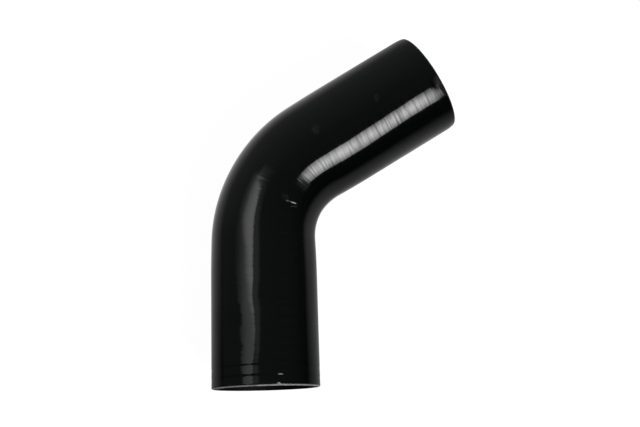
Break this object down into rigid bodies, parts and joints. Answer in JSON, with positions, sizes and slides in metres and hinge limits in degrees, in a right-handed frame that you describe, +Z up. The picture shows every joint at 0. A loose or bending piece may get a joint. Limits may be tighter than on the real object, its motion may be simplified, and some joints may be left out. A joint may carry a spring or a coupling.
{
  "type": "silicone elbow hose",
  "caption": "Black silicone elbow hose: a round tube with a sixty degree bend between two straight legs, square cut ends and a skin marked by wrapping tape.",
  "frame": {"origin": "under the middle of the hose's box, on the surface that it lies on", "axes": "+Z up, square to the plane of the bend; +Y along the lower leg, from its cut end towards the bend; +X the side that the bend turns to"},
  "size_m": [0.1554, 0.2168, 0.065],
  "materials": {
    "black_silicone": "glossy"
  },
  "bodies": {
    "root": {"elbow_hose": "black_silicone"}
  },
  "joints": []
}
